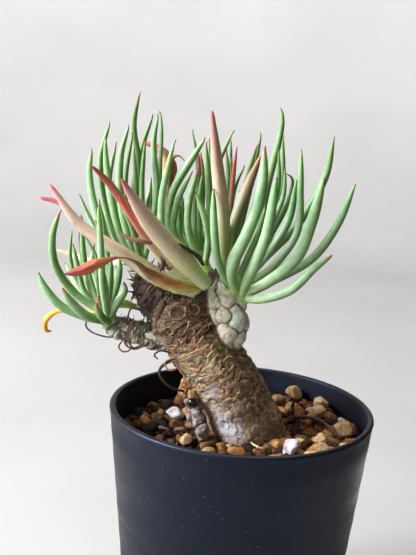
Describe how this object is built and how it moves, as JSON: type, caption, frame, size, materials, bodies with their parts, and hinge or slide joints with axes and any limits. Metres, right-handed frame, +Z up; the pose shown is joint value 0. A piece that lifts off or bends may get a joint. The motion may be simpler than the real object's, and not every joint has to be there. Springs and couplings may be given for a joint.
{
  "type": "potted succulent",
  "caption": "Potted Tylecodon pearsonii: a swollen trunk leaning to one side, with heads of narrow round tapering leaves, in gravelly soil in a round tapered nursery pot.",
  "frame": {"origin": "middle of the flat pad under the pot, on the plane of the foot ring", "axes": "+Z up along the pot's axis; the front view looks along +Y with +X to the right, and the trunk leans towards -X"},
  "size_m": [0.0971, 0.075, 0.1581],
  "materials": {
    "pot_plastic": "matte black, slightly dusty",
    "gritty_soil": "rough baked-clay and pumice grains",
    "bark": "peeling corky bark",
    "green_leaf": "waxy, pale bloom",
    "old_leaf": "waxy, fading to beige and pink",
    "red_leaf": "waxy, dark red",
    "withered_leaf": "shrivelled, orange and pink",
    "yellow_leaf": "waxy, yellowing",
    "dry_leaf": "papery and dry"
  },
  "bodies": {
    "root": {"pot": "pot_plastic", "soil": "gritty_soil", "caudex": "bark", "rosette_right": "green_leaf", "rosette_middle": "green_leaf", "rosette_centre_left": "green_leaf", "rosette_left": "green_leaf", "old_leaf_broad": "old_leaf", "old_leaf_upright": "old_leaf", "old_leaf_olive": "old_leaf", "old_leaf_long": "old_leaf", "pale_pink_leaf": "old_leaf", "old_leaf_crimson": "red_leaf", "old_leaf_thin_red": "red_leaf", "old_leaf_red_hook": "red_leaf", "withered_leaf": "withered_leaf", "yellow_green_leaf": "yellow_leaf", "yellow_curled_leaf": "yellow_leaf", "dry_curl": "dry_leaf", "papery_leaf": "dry_leaf"}
  },
  "joints": []
}
